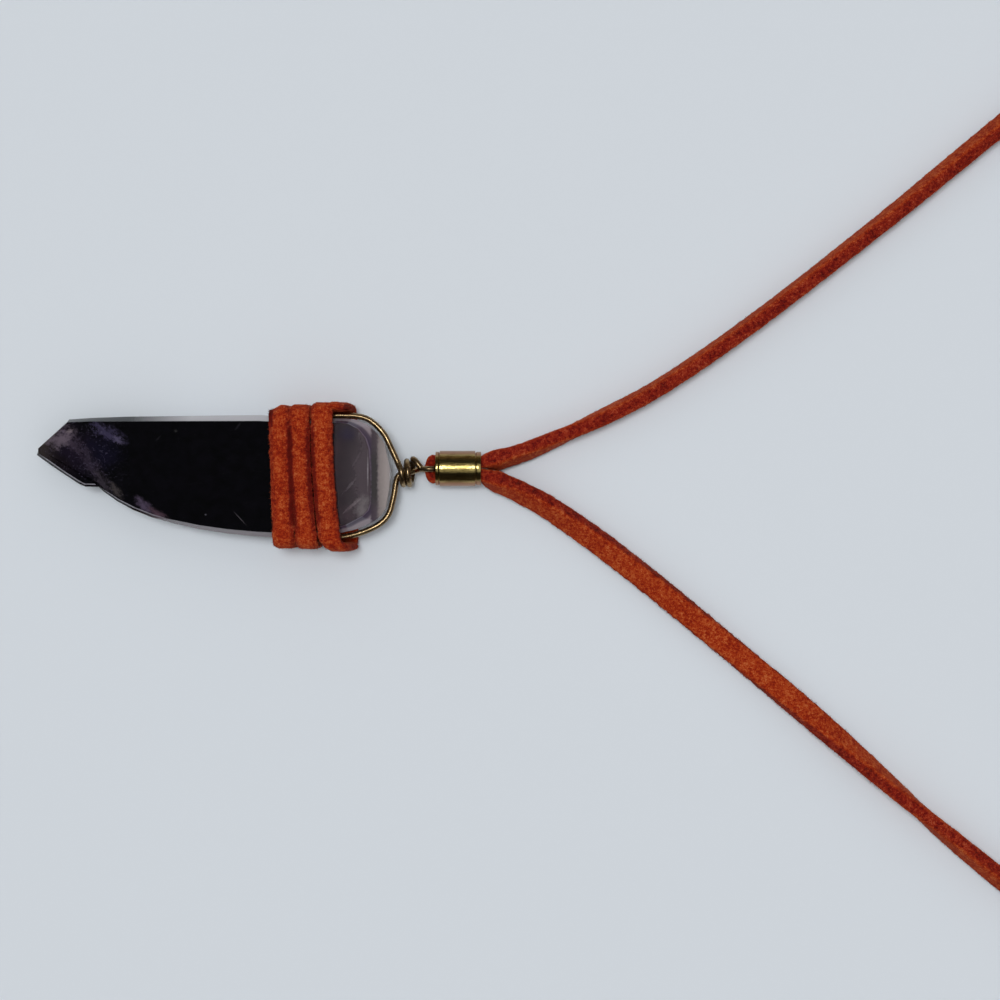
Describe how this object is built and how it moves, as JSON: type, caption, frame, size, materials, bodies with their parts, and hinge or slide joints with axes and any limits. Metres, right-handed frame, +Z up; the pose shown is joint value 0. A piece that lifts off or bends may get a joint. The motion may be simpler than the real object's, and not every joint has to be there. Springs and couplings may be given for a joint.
{
  "type": "crystal pendant necklace",
  "caption": "Polished crystal blade bound with flat suede lace to a bent brass wire, hung by its eye from a suede lace necklace with a tube bead and a barrel clasp.",
  "frame": {"origin": "bottom centre of the pendant, its bead included: on the table, midway between the crystal's tip and the bead's far end", "axes": "+X along the pendant from the crystal's tip to the bead and the necklace's clasp, +Y towards the upper strand in the picture, +Z up from the table"},
  "size_m": [0.1979, 0.1491, 0.0077],
  "materials": {
    "crystal": "polished amethyst, near black with purple clouds, clearer at the head",
    "suede": "napped rust-orange suede lace",
    "brass_wire": "drawn brass wire, slightly dulled",
    "brass_bead": "polished brass with fine scratches"
  },
  "bodies": {
    "root": {"crystal": "crystal", "lace_wrap": "suede", "wire_frame": "brass_wire", "bead": "brass_bead", "lace_fold": "suede", "strand_upper": "suede", "strand_lower": "suede", "clasp": "brass_bead"}
  },
  "joints": []
}
